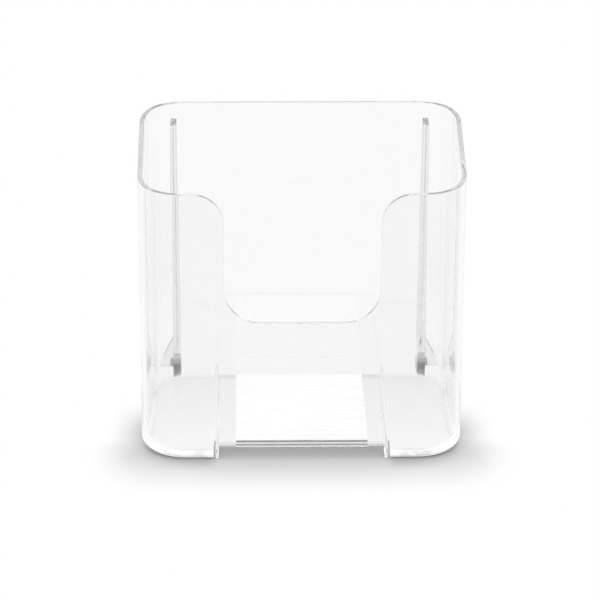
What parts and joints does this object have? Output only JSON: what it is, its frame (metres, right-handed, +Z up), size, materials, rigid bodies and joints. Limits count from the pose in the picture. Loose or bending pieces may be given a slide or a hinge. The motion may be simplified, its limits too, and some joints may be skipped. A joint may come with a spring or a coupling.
{
  "type": "brochure holder",
  "caption": "Clear moulded brochure holder for a desk: deep round-cornered pocket with a finger notch, a raised ribbed ramp between base rails, and rear fins.",
  "frame": {"origin": "on the desk, below the middle of the overall box, fins included", "axes": "+X to the right seen from the front, -Y to the front, +Z up"},
  "size_m": [0.16, 0.116, 0.154],
  "materials": {
    "clear_plastic": "water-clear moulded plastic, polished",
    "ribbed_plastic": "clear moulded plastic with fine anti-slip ribs that read white"
  },
  "bodies": {
    "root": {"front_wall": "clear_plastic", "back_wall": "clear_plastic", "left_side_wall": "clear_plastic", "right_side_wall": "clear_plastic", "left_floor": "clear_plastic", "right_floor": "clear_plastic", "left_rail": "clear_plastic", "right_rail": "clear_plastic", "ribbed_ramp": "ribbed_plastic", "left_ramp_margin": "clear_plastic", "right_ramp_margin": "clear_plastic", "left_rear_fin": "clear_plastic", "right_rear_fin": "clear_plastic"}
  },
  "joints": []
}
